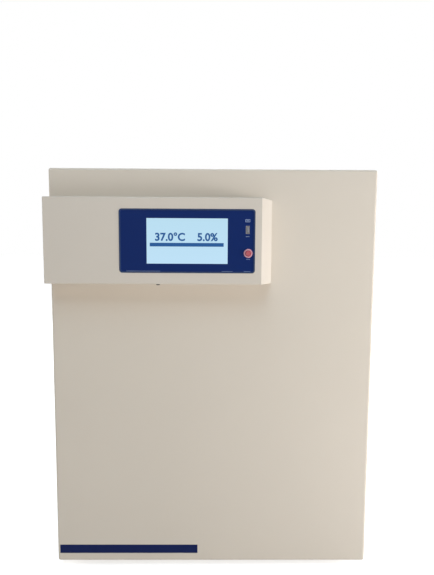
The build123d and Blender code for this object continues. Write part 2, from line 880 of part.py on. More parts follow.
def back_panel():
    """The rear cover, fixed over the returns of the other panels."""
    panel = upright(RectangleRounded(cabinet_width - 2 * back_panel_margin,
                                     cabinet_height - 2 * back_panel_margin, back_panel_corner),
                    0, body_middle, frame_back, body_rear)
    panel = panel - rod(port_outer, port_x, port_z, frame_back, body_rear)
    panel = panel - rod(gas_thread_radius, gas_x, gas_z, frame_back, body_rear)
    panel = panel - upright(Rectangle(mains_body_width, mains_body_height), mains_x, mains_z,
                            frame_back, body_rear)
    panel = panel - upright(Rectangle(switch_body_width, switch_body_height), switch_x, mains_z,
                            frame_back, body_rear)
    vent_x = half_width - vent_inset
    for side in (-1, 1):
        for step in range(vent_count):
            slot_z = body_bottom + vent_rise + step * vent_pitch
            panel = panel - block(side * vent_x - vent_width / 2, side * vent_x + vent_width / 2,
                                  frame_back, body_rear, slot_z, slot_z + vent_slot)
    return panel


def wall_spacer(x):
    """A round stop that keeps the cabinet off the wall."""
    plane = Plane(origin=(x, body_rear, body_top - spacer_drop), x_dir=(1, 0, 0), z_dir=(0, 1, 0))
    shape = plane * Cone(spacer_radius, spacer_tip_radius, spacer_depth,
                         align=(Align.CENTER, Align.CENTER, Align.MIN))
    return fillet(shape.edges().filter_by(GeomType.CIRCLE).sort_by(Axis.Y)[-1], spacer_round)


save("back_panel", back_panel())
save("wall_spacer_left", wall_spacer(spacer_inset - half_width))
save("wall_spacer_right", wall_spacer(half_width - spacer_inset))


# Outer door: painted skin, insulation, dished liner, gasket and a grip let into its left side

skin_wall = 1.5
skin_edge = 5.0
dish_depth = 30.0
dish_corner = 24.0
dish_round = 10.0
door_liner_wall = 1.5
gasket_margin = 7.0
gasket_width = 14.0
gasket_corner = 8.0
grip_set_back = 8.0
grip_width = 20.0
grip_depth = 26.0
grip_height = 120.0
grip_wall = 2.0
grip_rise = 350.0

grip_y_front = door_front + grip_set_back
grip_y_back = grip_y_front + grip_width
grip_z_low = body_bottom + grip_rise
grip_z_high = grip_z_low + grip_height
grip_inner_x = grip_depth - half_width


def door_block(shrink, y_back):
    """The door's outside, or the space inside its skin when shrunk by the wall."""
    shape = block(shrink - half_width, half_width - shrink, door_front + shrink, y_back,
                  body_bottom + shrink, body_top - shrink)
    return round_but(shape, "y", y_back, skin_edge - shrink)


def dish(grow):
    """The hollow at the door's back that takes the glass door, grown by the liner's wall."""
    width = cabinet_width - 2 * dish_margin + 2 * grow
    height = cabinet_height - 2 * dish_margin + 2 * grow
    floor_y = door_back - dish_depth - grow
    shape = upright(RectangleRounded(width, height, dish_corner + grow), 0, body_middle, floor_y, door_back)
    return fillet(shape.edges().group_by(Axis.Y)[0], dish_round + grow)


grip_block = block(-half_width, grip_inner_x, grip_y_front, grip_y_back, grip_z_low, grip_z_high)
grip_hollow = block(-half_width, grip_inner_x - grip_wall, grip_y_front + grip_wall, grip_y_back - grip_wall,
                    grip_z_low + grip_wall, grip_z_high - grip_wall)
liner_front = door_back - door_liner_wall

save("door_skin", door_block(0, door_back) - door_block(skin_wall, door_back) - grip_block)
save("door_insulation", door_block(skin_wall, liner_front) - dish(door_liner_wall) - grip_block)
door_margin = upright(RectangleRounded(cabinet_width - 2 * skin_wall, cabinet_height - 2 * skin_wall,
                                       skin_edge - skin_wall), 0, body_middle, liner_front, door_back)
save("door_liner", dish(door_liner_wall) + door_margin - dish(0))
save("door_grip_cup", grip_block - grip_hollow)
gasket_inner = 2 * (gasket_margin + gasket_width)
save("door_gasket", upright(ring(cabinet_width - gasket_inner, cabinet_height - gasket_inner, gasket_width,
                                 gasket_corner), 0, body_middle, door_back,
                            body_front - running_clearance))


# Lift-off hinges on the right side, their axis in the gap between door and cabinet

hinge_offset = 4.0
hinge_barrel_radius = 4.8
hinge_knuckle_height = 30.0
hinge_pin_radius = 2.4
hinge_pin_short = 2.0
hinge_leaf_wall = 2.5
hinge_leaf_length = 45.0
hinge_leaf_room = 6.0
hinge_inset = 90.0
hinge_leaf_round = 6.0

hinge_x = half_width + hinge_offset
hinge_y = (door_back + body_front) / 2
hinge_places = {
    "lower": body_bottom + hinge_inset,
    "upper": body_top - hinge_inset - 2 * hinge_knuckle_height,
}


def hinge_leaf(way, z_low):
    """A flat leaf on the side, behind the axis or in front of it."""
    near = hinge_y + way * hinge_leaf_room
    far = near + way * hinge_leaf_length
    leaf = block(half_width, half_width + hinge_leaf_wall, near, far, z_low, z_low + 2 * hinge_knuckle_height)
    ends = leaf.edges().filter_by(Axis.X).group_by(Axis.Y)
    return fillet(ends[-1] if way > 0 else ends[0], hinge_leaf_round)


def hinge_knuckle(way, z_low, z_high):
    """A knuckle and the web that joins it to its leaf."""
    web = block(half_width, half_width + hinge_leaf_wall, hinge_y, hinge_y + way * hinge_leaf_room,
                z_low, z_high)
    return web + post(hinge_barrel_radius, hinge_x, hinge_y, z_low, z_high)


for hinge_name, hinge_z in hinge_places.items():
    knuckle_middle = hinge_z + hinge_knuckle_height
    knuckle_top = knuckle_middle + hinge_knuckle_height
    fixed = hinge_leaf(1, hinge_z) + hinge_knuckle(1, hinge_z, knuckle_middle)
    fixed = fixed + post(hinge_pin_radius, hinge_x, hinge_y, knuckle_middle, knuckle_top - hinge_pin_short)
    save(f"cabinet_hinge_{hinge_name}", fixed)
    moving = hinge_leaf(-1, hinge_z) + hinge_knuckle(-1, knuckle_middle, knuckle_top)
    moving = moving - post(hinge_pin_radius + pin_clearance, hinge_x, hinge_y, knuckle_middle, knuckle_top)
    save(f"door_hinge_{hinge_name}", moving)


# Control box on the door: housing with a bevelled right side, rim, fascia and what is set in it

console_inset = 2.0
console_width = 416.0
console_height = 165.0
console_drop = 60.5
console_bevel = 23.5
console_wall = 2.5
console_edge = 2.0
rim_width = 3.0
rim_proud = 0.6
rim_depth = 3.5
rim_edge = 0.5
ledge_width = 1.5
ledge_front = 2.0
fascia_width = 253.0
fascia_height = 115.6
fascia_corner = 3.0
fascia_sink = 0.2
fascia_right_margin = 12.8

console_left = console_inset - half_width
console_right = console_left + console_width
console_top = body_top - console_drop
console_bottom = console_top - console_height
console_middle = (console_top + console_bottom) / 2
fascia_x = console_right - fascia_right_margin - rim_width - fascia_width / 2
fascia_front = console_front + fascia_sink
ledge_y = console_front + ledge_front


def console_housing():
    """A hollow box, open to the door, whose right side slopes out towards the door."""
    slope = console_bevel / console_depth
    slant = console_wall * math.sqrt(1 + slope ** 2)
    inner_front = console_front + console_wall
    outline = Polyline((console_left, door_front), (console_left, console_front),
                       (console_right, console_front), (console_right + console_bevel, door_front),
                       close=True)
    hollow = Polyline((console_left + console_wall, door_front), (console_left + console_wall, inner_front),
                      (console_right + slope * console_wall - slant, inner_front),
                      (console_right + console_bevel - slant, door_front), close=True)
    shape = level(make_face(outline), 0, 0, console_bottom, console_top)
    shape = round_but(shape, "y", door_front, console_edge)
    shape = shape - level(make_face(hollow), 0, 0, console_bottom + console_wall, console_top - console_wall)
    window = RectangleRounded(fascia_width + 2 * rim_width, fascia_height + 2 * rim_width,
                              fascia_corner + rim_width)
    return shape - upright(window, fascia_x, console_middle, console_front, inner_front)


def console_bezel():
    """The rim round the fascia, with the ledge that the fascia sits on."""
    face = upright(ring(fascia_width, fascia_height, rim_width, fascia_corner), fascia_x, console_middle,
                   console_front - rim_proud, ledge_y)
    face = chamfer(face.edges().group_by(Axis.Y)[0], rim_edge)
    inner = RectangleRounded(fascia_width - 2 * ledge_width, fascia_height - 2 * ledge_width,
                             fascia_corner - ledge_width / 2)
    outer = RectangleRounded(fascia_width + 2 * rim_width, fascia_height + 2 * rim_width,
                             fascia_corner + rim_width)
    return face + upright(outer - inner, fascia_x, console_middle, ledge_y, console_front + rim_depth)


screen_width = 154.08
screen_height = 85.92
module_width = 166.0
module_height = 101.0
module_depth = 9.0
usb_offset_x = 115.0
usb_offset_z = 21.8
usb_width = 7.2
usb_height = 15.2
usb_slot_width = 5.0
usb_slot_height = 12.6
usb_slot_depth = 9.0
usb_depth = 16.0
usb_tongue_width = 1.9
usb_tongue_height = 10.6
usb_tongue_sink = 1.5
usb_tongue_offset = 0.9
button_offset_x = 116.2
button_offset_z = -22.7
button_flange_radius = 8.5
button_flange_wall = 1.4
button_barrel_radius = 7.2
button_radius = 5.6
button_crown = 1.6
button_travel = 2.0
button_length = 9.0
button_floor_wall = 2.0
button_spare = 1.0

usb_x = fascia_x + usb_offset_x
usb_z = console_middle + usb_offset_z
button_x = fascia_x + button_offset_x
button_z = console_middle + button_offset_z
button_front = console_front - button_proud
button_floor_room = button_travel + button_spare


def console_overlay():
    """The dark fascia with its window and holes."""
    shape = upright(RectangleRounded(fascia_width, fascia_height, fascia_corner), fascia_x, console_middle,
                    fascia_front, ledge_y)
    shape = shape - upright(Rectangle(screen_width, screen_height), fascia_x, console_middle,
                            fascia_front, ledge_y)
    shape = shape - upright(Rectangle(usb_width, usb_height), usb_x, usb_z, fascia_front, ledge_y)
    return shape - rod(button_barrel_radius, button_x, button_z, fascia_front, ledge_y)


def touch_screen():
    """The display module, with its glass raised into the fascia's window."""
    shape = upright(Rectangle(screen_width, screen_height), fascia_x, console_middle, fascia_front, ledge_y)
    return shape + upright(Rectangle(module_width, module_height), fascia_x, console_middle,
                           ledge_y, ledge_y + module_depth)


def usb_socket():
    """An upright socket with its contact tongue."""
    shape = upright(Rectangle(usb_width, usb_height), usb_x, usb_z, fascia_front, fascia_front + usb_depth)
    slot_end = fascia_front + usb_slot_depth
    shape = shape - upright(Rectangle(usb_slot_width, usb_slot_height), usb_x, usb_z, fascia_front, slot_end)
    return shape + upright(Rectangle(usb_tongue_width, usb_tongue_height), usb_x + usb_tongue_offset, usb_z,
                           fascia_front + usb_tongue_sink, slot_end)


def button_ring():
    """The bright ring on the fascia, with the barrel that guides the button."""
    barrel_end = button_front + button_length + button_floor_room + button_floor_wall
    shape = rod(button_flange_radius, button_x, button_z, fascia_front - button_flange_wall, fascia_front)
    shape = chamfer(shape.edges().filter_by(GeomType.CIRCLE).sort_by(Axis.Y)[0], button_flange_wall / 2)
    shape = shape + rod(button_barrel_radius, button_x, button_z, fascia_front, barrel_end)
    return shape - rod(button_radius + running_clearance, button_x, button_z,
                       fascia_front - button_flange_wall, barrel_end - button_floor_wall)


def button_cap():
    """The push button with its domed face."""
    shape = rod(button_radius, button_x, button_z, button_front, button_front + button_length)
    return fillet(shape.edges().filter_by(GeomType.CIRCLE).sort_by(Axis.Y)[0], button_crown)


save("console_housing", console_housing())
save("console_bezel", console_bezel())
save("console_overlay", console_overlay())
save("touch_screen", touch_screen())
save("usb_socket", usb_socket())
save("button_ring", button_ring())
save("button_cap", button_cap())
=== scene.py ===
import math

import bmesh
import bpy
from mathutils import Matrix, Vector


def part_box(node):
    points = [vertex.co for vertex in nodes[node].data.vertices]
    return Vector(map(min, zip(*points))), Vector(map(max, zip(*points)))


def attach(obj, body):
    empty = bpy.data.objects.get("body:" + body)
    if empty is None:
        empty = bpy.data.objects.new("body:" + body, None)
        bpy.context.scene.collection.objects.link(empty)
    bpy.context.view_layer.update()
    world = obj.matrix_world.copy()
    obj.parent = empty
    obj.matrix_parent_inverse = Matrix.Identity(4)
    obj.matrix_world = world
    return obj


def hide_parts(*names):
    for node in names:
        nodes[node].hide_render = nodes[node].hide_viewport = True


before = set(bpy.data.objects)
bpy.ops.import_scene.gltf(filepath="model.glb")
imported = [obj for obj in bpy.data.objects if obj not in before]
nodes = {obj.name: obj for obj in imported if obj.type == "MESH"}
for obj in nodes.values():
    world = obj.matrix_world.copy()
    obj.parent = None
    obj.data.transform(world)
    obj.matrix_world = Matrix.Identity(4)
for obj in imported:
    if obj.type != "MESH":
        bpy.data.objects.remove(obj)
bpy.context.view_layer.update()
print("incubator: packed frame loaded")


# Camera, fitted to the door's four corners in the photograph

view = {
    "place": (0.0011, -1.1930, 0.6713),
    "lens": 27.11,
    "sensor": 36.0,
    "pitchDown": 4.80,
    "turnRight": 0.47,
    "roll": -0.28,
}
cameraData = bpy.data.cameras.new("photoCamera")
cameraData.sensor_width = view["sensor"]
cameraData.lens = view["lens"]
camera = bpy.data.objects.new("photoCamera", cameraData)
bpy.context.scene.collection.objects.link(camera)
level = Matrix(((1, 0, 0), (0, 0, 1), (0, -1, 0)))  # looks along +Y, +Z up
aim = (Matrix.Rotation(math.radians(view["roll"]), 3, "Z")
       @ Matrix.Rotation(math.radians(view["turnRight"]), 3, "Y")
       @ Matrix.Rotation(math.radians(view["pitchDown"]), 3, "X") @ level)
camera.matrix_world = Matrix.Translation(view["place"]) @ aim.transposed().to_4x4()
bpy.context.scene.camera = camera
bpy.context.scene.view_settings.view_transform = "Standard"


# Small helpers for colours and nodes

def linear(hexColour):
    # sRGB hex to the linear values that sockets take
    parts = [int(hexColour[i:i + 2], 16) / 255 for i in (1, 3, 5)]
    return tuple(p / 12.92 if p <= 0.04045 else ((p + 0.055) / 1.055) ** 2.4 for p in parts) + (1.0,)


def addNode(tree, kind, settings=None, links=None):
    # one node with its settings and links; a setting is an attribute or an input's value
    node = tree.nodes.new(kind)
    for name, value in (settings or {}).items():
        if isinstance(name, str) and hasattr(node, name):
            setattr(node, name, value)
        else:
            node.inputs[name].default_value = value
    for name, source in (links or {}).items():
        tree.links.new(source, node.inputs[name])
    return node


def newMaterial(name):
    material = bpy.data.materials.new(name)
    material.use_nodes = True
    material.node_tree.nodes.clear()
    return material, material.node_tree


def closeMaterial(tree, shader):
    addNode(tree, "ShaderNodeOutputMaterial", links={"Surface": shader.outputs[0]})


# Floor, room and lamps: a pale studio with its main lamp low at the right

studio = {
    "floorColour": "#ECECEC",
    "glowNear": 0.62,
    "glowFar": 1.0,
    "glowStart": 0.9,
    "glowEnd": 2.6,
    "roomColour": "#FFFFFF",
    "roomStrength": 0.05,
    "floorReach": 80.0,
}


def seenDirectly(tree):
    # one where the camera sees it, straight or in metal or through glass
    path = addNode(tree, "ShaderNodeLightPath")
    either = addNode(tree, "ShaderNodeMath", {"operation": "MAXIMUM"},
                     {0: path.outputs["Is Camera Ray"], 1: path.outputs["Is Glossy Ray"]})
    return addNode(tree, "ShaderNodeMath", {"operation": "MAXIMUM"},
                   {0: either.outputs[0], 1: path.outputs["Is Transmission Ray"]})


world = bpy.data.worlds.new("studioRoom")
world.use_nodes = True
roomTree = world.node_tree
roomTree.nodes.clear()
seen = seenDirectly(roomTree)
strength = addNode(roomTree, "ShaderNodeMapRange", {"To Min": studio["roomStrength"], "To Max": 1.0},
                   {"Value": seen.outputs[0]})
room = addNode(roomTree, "ShaderNodeBackground", {"Color": linear(studio["roomColour"])},
               {"Strength": strength.outputs["Result"]})
addNode(roomTree, "ShaderNodeOutputWorld", links={"Surface": room.outputs[0]})
bpy.context.scene.world = world

floorMaterial, floorTree = newMaterial("paleStudioFloor")
seen = seenDirectly(floorTree)
where = addNode(floorTree, "ShaderNodeTexCoord")
# the floor shows its shadows near the cabinet and runs out into the pale room
away = addNode(floorTree, "ShaderNodeVectorMath", {"operation": "LENGTH"}, {0: where.outputs["Object"]})
fade = addNode(floorTree, "ShaderNodeMapRange", {
    "From Min": studio["glowStart"], "From Max": studio["glowEnd"], "To Min": studio["glowNear"],
    "To Max": studio["glowFar"]}, {"Value": away.outputs["Value"]})
glow = addNode(floorTree, "ShaderNodeMath", {"operation": "MULTIPLY"},
               {0: seen.outputs[0], 1: fade.outputs["Result"]})
mat = addNode(floorTree, "ShaderNodeBsdfDiffuse", {"Color": linear(studio["floorColour"])})
lit = addNode(floorTree, "ShaderNodeEmission", {"Color": (1, 1, 1, 1)}, {"Strength": glow.outputs[0]})
both = addNode(floorTree, "ShaderNodeAddShader", links={0: mat.outputs[0], 1: lit.outputs[0]})
closeMaterial(floorTree, both)

floorMesh = bpy.data.meshes.new("studioFloor")
reach = studio["floorReach"] / 2
floorMesh.from_pydata([(-reach, -reach, 0), (reach, -reach, 0), (reach, reach, 0), (-reach, reach, 0)],
                      [], [(0, 1, 2, 3)])
floorMesh.materials.append(floorMaterial)
floor = bpy.data.objects.new("studioFloor", floorMesh)
bpy.context.scene.collection.objects.link(floor)

lamps = {
    "windowRight": {"place": (1.62, -0.76, 0.42), "target": (0.0, -0.35, 0.60), "size": 0.42,
                    "power": 22.5, "colour": "#FDFDFF", "mirrored": False},
    "frontal": {"place": (-0.4, -3.0, 1.0), "target": (0.0, -0.3, 0.45), "size": 2.0,
                "power": 13.0, "colour": "#FFE6C4"},
    "softAbove": {"place": (-0.3, -1.6, 2.6), "target": (0.0, -0.33, 0.5), "size": 1.6,
                  "power": 32.5, "colour": "#D6ECFF"},
    "softBehind": {"place": (0.6, 3.2, 1.9), "target": (0.0, 0.3, 0.45), "size": 2.0,
                   "power": 40.0, "colour": "#FFFFFF"},
    "softTop": {"place": (0.2, 0.9, 3.0), "target": (0.0, 0.1, 0.8), "size": 1.6,
                "power": 30.0, "colour": "#FFFFFF"},
    "softLeft": {"place": (-3.0, 0.9, 1.3), "target": (-0.3, 0.1, 0.45), "size": 1.6,
                 "power": 38.0, "colour": "#FFFFFF"},
}
for name, lamp in lamps.items():
    data = bpy.data.lights.new(name, "AREA")
    data.shape = "SQUARE"
    data.size = lamp["size"]
    data.energy = lamp["power"]
    data.color = linear(lamp["colour"])[:3]
    lampObject = bpy.data.objects.new(name, data)
    lampObject.visible_glossy = lamp.get("mirrored", True)  # the low lamp would glare in the paint
    place = Vector(lamp["place"])
    turn = (Vector(lamp["target"]) - place).to_track_quat("-Z", "Y")
    lampObject.matrix_world = Matrix.Translation(place) @ turn.to_matrix().to_4x4()
    bpy.context.scene.collection.objects.link(lampObject)
print("incubator: camera, room and lamps set")


# Finishes. Every pattern is set out in metres on Object coordinates; spread is how far the
# roughness strays to each side over the surface.

def coatedSheet(name, colour, roughness, peel=0.00012, peelWidth=0.0016, cloud=0.03, spread=(-0.05, 0.07)):
    # powder coat on sheet steel, sprayed and baked: satin, faint orange peel, slow change of tone
    material, tree = newMaterial(name)
    where = addNode(tree, "ShaderNodeTexCoord")
    slow = addNode(tree, "ShaderNodeTexNoise", {"Scale": 3.2, "Detail": 3.0, "Roughness": 0.55},
                   {"Vector": where.outputs["Object"]})
    tone = addNode(tree, "ShaderNodeMapRange", {"To Min": 1.0 - cloud, "To Max": 1.0 + cloud},
                   {"Value": slow.outputs["Fac"]})
    tint = addNode(tree, "ShaderNodeHueSaturation", {"Color": linear(colour)},
                   {"Value": tone.outputs["Result"]})
    handled = addNode(tree, "ShaderNodeTexNoise", {"Scale": 14.0, "Detail": 5.0, "Roughness": 0.6},
                      {"Vector": where.outputs["Object"]})
    sheen = addNode(tree, "ShaderNodeMapRange",
                    {"To Min": roughness + spread[0], "To Max": roughness + spread[1]},
                    {"Value": handled.outputs["Fac"]})
    skin = addNode(tree, "ShaderNodeTexNoise", {"Scale": 1 / peelWidth, "Detail": 1.5},
                   {"Vector": where.outputs["Object"]})
    relief = addNode(tree, "ShaderNodeBump", {"Strength": 0.35, "Distance": peel},
                     {"Height": skin.outputs["Fac"]})
    paint = addNode(tree, "ShaderNodeBsdfPrincipled", {"IOR": 1.5, "Specular IOR Level": 0.38},
                    {"Base Color": tint.outputs["Color"], "Roughness": sheen.outputs["Result"],
                     "Normal": relief.outputs["Normal"]})
    closeMaterial(tree, paint)
    return material


def brushedSheet(name, colour, roughness, lines=(900.0, 900.0, 12.0), contrast=0.06, spread=(-0.06, 0.08)):
    # rolled or brushed metal: fine lines one way, soft streaks in the shine
    # lines are counted by the metre: 900 is one in 1.1 mm, coarser than real grit so that it shows
    material, tree = newMaterial(name)
    where = addNode(tree, "ShaderNodeTexCoord")
    stretch = addNode(tree, "ShaderNodeMapping", {"Scale": lines}, {"Vector": where.outputs["Object"]})
    streaks = addNode(tree, "ShaderNodeTexNoise", {"Scale": 1.0, "Detail": 3.0, "Roughness": 0.6},
                      {"Vector": stretch.outputs["Vector"]})
    tone = addNode(tree, "ShaderNodeMapRange", {"To Min": 1.0 - contrast, "To Max": 1.0 + contrast},
                   {"Value": streaks.outputs["Fac"]})
    tint = addNode(tree, "ShaderNodeHueSaturation", {"Color": linear(colour)},
                   {"Value": tone.outputs["Result"]})
    shine = addNode(tree, "ShaderNodeMapRange",
                    {"To Min": roughness + spread[0], "To Max": roughness + spread[1]},
                    {"Value": streaks.outputs["Fac"]})
    relief = addNode(tree, "ShaderNodeBump", {"Strength": 0.12, "Distance": 0.00005},
                     {"Height": streaks.outputs["Fac"]})
    metal = addNode(tree, "ShaderNodeBsdfPrincipled", {"Metallic": 1.0},
                    {"Base Color": tint.outputs["Color"], "Roughness": shine.outputs["Result"],
                     "Normal": relief.outputs["Normal"]})
    closeMaterial(tree, metal)
    return material


def mouldedPart(name, colour, roughness, grain=0.0008, depth=0.00006, ior=1.5, coat=0.0, cloud=0.04,
                gloss=0.5, spread=(-0.04, 0.06)):
    # moulded plastic or rubber: spark-eroded grain, slightly uneven gloss
    material, tree = newMaterial(name)
    where = addNode(tree, "ShaderNodeTexCoord")
    fine = addNode(tree, "ShaderNodeTexNoise", {"Scale": 1 / grain, "Detail": 2.0},
                   {"Vector": where.outputs["Object"]})
    slow = addNode(tree, "ShaderNodeTexNoise", {"Scale": 30.0, "Detail": 3.0},
                   {"Vector": where.outputs["Object"]})
    tone = addNode(tree, "ShaderNodeMapRange", {"To Min": 1.0 - cloud, "To Max": 1.0 + cloud},
                   {"Value": slow.outputs["Fac"]})
    tint = addNode(tree, "ShaderNodeHueSaturation", {"Color": linear(colour)},
                   {"Value": tone.outputs["Result"]})
    shine = addNode(tree, "ShaderNodeMapRange",
                    {"To Min": roughness + spread[0], "To Max": roughness + spread[1]},
                    {"Value": slow.outputs["Fac"]})
    relief = addNode(tree, "ShaderNodeBump", {"Strength": 0.3, "Distance": depth},
                     {"Height": fine.outputs["Fac"]})
    plastic = addNode(tree, "ShaderNodeBsdfPrincipled",
                      {"IOR": ior, "Specular IOR Level": gloss, "Coat Weight": coat, "Coat Roughness": 0.08},
                      {"Base Color": tint.outputs["Color"], "Roughness": shine.outputs["Result"],
                       "Normal": relief.outputs["Normal"]})
    closeMaterial(tree, plastic)
    return material


def clearPane(name, colour, roughness, haze=0.03):
    # float glass: clear, faintly green, with a breath of haze in patches
    material, tree = newMaterial(name)
    where = addNode(tree, "ShaderNodeTexCoord")
    breath = addNode(tree, "ShaderNodeTexNoise", {"Scale": 6.0, "Detail": 4.0},
                     {"Vector": where.outputs["Object"]})
    dull = addNode(tree, "ShaderNodeMapRange", {"To Min": roughness, "To Max": roughness + haze},
                   {"Value": breath.outputs["Fac"]})
    glass = addNode(tree, "ShaderNodeBsdfPrincipled",
                    {"Base Color": linear(colour), "IOR": 1.52, "Transmission Weight": 1.0},
                    {"Roughness": dull.outputs["Result"]})
    closeMaterial(tree, glass)
    return material


def foamBlock(name, colour, cellsPerMetre=420.0):
    # poured polyurethane foam: matt, small closed cells, drawn at 2.4 mm so that they show
    material, tree = newMaterial(name)
    where = addNode(tree, "ShaderNodeTexCoord")
    cells = addNode(tree, "ShaderNodeTexVoronoi", {"Scale": cellsPerMetre},
                    {"Vector": where.outputs["Object"]})
    tone = addNode(tree, "ShaderNodeMapRange", {"From Max": 0.6, "To Min": 0.82, "To Max": 1.04},
                   {"Value": cells.outputs["Distance"]})
    tint = addNode(tree, "ShaderNodeHueSaturation", {"Color": linear(colour)},
                   {"Value": tone.outputs["Result"]})
    relief = addNode(tree, "ShaderNodeBump", {"Strength": 0.5, "Distance": 0.0006},
                     {"Height": cells.outputs["Distance"]})
    foam = addNode(tree, "ShaderNodeBsdfPrincipled", {"Roughness": 0.92, "IOR": 1.45},
                   {"Base Color": tint.outputs["Color"], "Normal": relief.outputs["Normal"]})
    closeMaterial(tree, foam)
    return material


finishes = {
    # baked powder coat: warm satin white with no brush marks
    "cabinetCoat": coatedSheet("cabinetPowderCoat", "#DBD1C4", 0.50),
    "doorCoat": coatedSheet("doorPowderCoat", "#DACFC0", 0.50),
    "consoleCoat": coatedSheet("consolePowderCoat", "#D6CCBF", 0.50),
    # cold-rolled stainless, bright annealed: soft mirror with faint upright lines
    "chamberSteel": brushedSheet("brightRolledStainless", "#D4D4D2", 0.22),
    # brushed stainless: duller, its lines from side to side
    "shelfSteel": brushedSheet("brushedStainless", "#CFCFCD", 0.30, lines=(12.0, 900.0, 900.0)),
    "hingeSteel": brushedSheet("satinStainless", "#C9C9C7", 0.34),
    # zinc-plated sheet: bluish grey, broad dull patches 17 mm wide
    "zincSheet": brushedSheet("zincPlatedSheet", "#B9BDC0", 0.40, lines=(60.0, 60.0, 60.0)),
    "foam": foamBlock("pouredFoam", "#DDCFA0"),
    # extruded rubber: charcoal, matt, with a soft edge to its shine
    "doorRubber": mouldedPart("extrudedDoorRubber", "#3A3A3C", 0.62, ior=1.52),
    # silicone: milky white, smooth, half dull
    "silicone": mouldedPart("whiteSilicone", "#E4E2DC", 0.48, ior=1.43),
    "glass": clearPane("temperedFloatGlass", "#EEF8F4", 0.0),
    # painted ABS: dark blue, quiet shine
    "rim": mouldedPart("rimPaintedAbs", "#2A3C5E", 0.40, ior=1.54, gloss=0.15),
    # polyester film printed on its back: deep even blue, hardly any relief
    "film": mouldedPart("printedPolyesterFilm", "#0D2862", 0.30, grain=0.0006, depth=0.000004, ior=1.57,
                        gloss=0.05),
    # acrylic: clear hard gloss over a strong colour
    # the ring is a real part, but its pale rose is a painted highlight: the bright ring round the red button
    "ringHighlightPlastic": mouldedPart("roseRingPaintedHighlight", "#C98A9C", 0.20, ior=1.49, coat=0.4),
    "buttonRed": mouldedPart("glossyRedPlastic", "#A51C3C", 0.18, ior=1.49, coat=0.6),
    # polycarbonate and ABS mouldings: eroded grain, low shine
    "blackPlastic": mouldedPart("blackPolycarbonate", "#1B1B1D", 0.38, ior=1.58),
    "greyPlastic": mouldedPart("greyAbs", "#8F8F92", 0.45, ior=1.54),
    # die-cast aluminium: mid grey, cloudy skin 6 mm wide
    "castMetal": brushedSheet("dieCastAluminium", "#B9B9BB", 0.45, lines=(180.0, 180.0, 180.0)),
    # nylon: slightly translucent white, here only in its tone
    "fanPlastic": mouldedPart("whiteFanNylon", "#D9D8D4", 0.42, ior=1.53),
    # turned brass: yellow, with the tool's rings across it
    "brass": brushedSheet("turnedBrass", "#C9A865", 0.30, lines=(40.0, 800.0, 40.0)),
    # rubber foot: nearly black, quite matt
    "footRubber": mouldedPart("blackFootRubber", "#222222", 0.75, ior=1.52),
    # sintered magnet: dark grey, ceramic shine
    "magnet": mouldedPart("sinteredMagnet", "#4A4A4C", 0.40, ior=1.5),
}

wearsFinish = {
    "cabinetCoat": ["side_panel_left", "side_panel_right", "top_panel"],
    "zincSheet": ["base_pan", "back_panel", "power_supply"],
    "foam": ["insulation_left", "insulation_right", "insulation_top", "insulation_bottom",
             "insulation_rear", "door_insulation"],
    "doorCoat": ["door_skin"],
    "consoleCoat": ["console_housing"],
    "chamberSteel": ["chamber_liner", "door_liner", "air_duct_panel", "port_sleeve"],
    "shelfSteel": ["shelf_lower", "shelf_middle", "shelf_upper", "shelf_rack_left", "shelf_rack_right",
                   "water_tray"],
    "hingeSteel": ["cabinet_hinge_lower", "cabinet_hinge_upper", "door_hinge_lower", "door_hinge_upper",
                   "glass_hinge_lower", "glass_hinge_upper", "glass_clamp_lower", "glass_clamp_upper",
                   "glass_knob"],
    "doorRubber": ["door_gasket"],
    "silicone": ["inner_gasket", "port_stopper"],
    "glass": ["glass_door"],
    "rim": ["console_bezel"],
    "film": ["console_overlay"],
    "ringHighlightPlastic": ["button_ring"],
    "buttonRed": ["button_cap"],
    "blackPlastic": ["mains_switch_frame", "mains_switch_rocker", "wall_spacer_left", "wall_spacer_right",
                     "solenoid_valve"],
    "greyPlastic": ["door_grip_cup", "co2_sensor"],
    "castMetal": ["fan_motor"],
    "fanPlastic": ["fan_impeller"],
    "brass": ["co2_inlet_fitting"],
    "footRubber": ["foot_front_left", "foot_front_right", "foot_rear_left", "foot_rear_right"],
    "magnet": ["glass_catch"],
}


def wear(node, material):
    nodes[node].data.materials.clear()
    nodes[node].data.materials.append(material)


for finish, wearers in wearsFinish.items():
    for node in wearers:
        wear(node, finishes[finish])


# Screen: a lit panel, pale blue, a little lighter at the top, behind plain glass

screenLook = {"top": "#AAD3E7", "foot": "#B1D7EF", "glow": 1.0, "pane": "#10161C"}
screenLow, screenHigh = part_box("console_overlay")


def litPanel():
    # liquid crystal display lit from behind: even glow under a hard smooth pane
    material, tree = newMaterial("backlitDisplay")
    where = addNode(tree, "ShaderNodeTexCoord")
    parts = addNode(tree, "ShaderNodeSeparateXYZ", links={"Vector": where.outputs["Object"]})
    rise = addNode(tree, "ShaderNodeMapRange", {"From Min": screenLow.z, "From Max": screenHigh.z},
                   {"Value": parts.outputs["Z"]})
    blend = addNode(tree, "ShaderNodeMix", {
        "data_type": "RGBA", 6: linear(screenLook["foot"]), 7: linear(screenLook["top"])},
        {"Factor": rise.outputs["Result"]})
    pane = addNode(tree, "ShaderNodeBsdfPrincipled",
                   {"Base Color": linear(screenLook["pane"]), "Roughness": 0.12, "IOR": 1.52,
                    "Emission Strength": screenLook["glow"]},
                   {"Emission Color": blend.outputs[2]})
    closeMaterial(tree, pane)
    return material


wear("touch_screen", litPanel())


# Nodes of more than one stuff: what lies in a box of the node gets a colour and a shine of its own

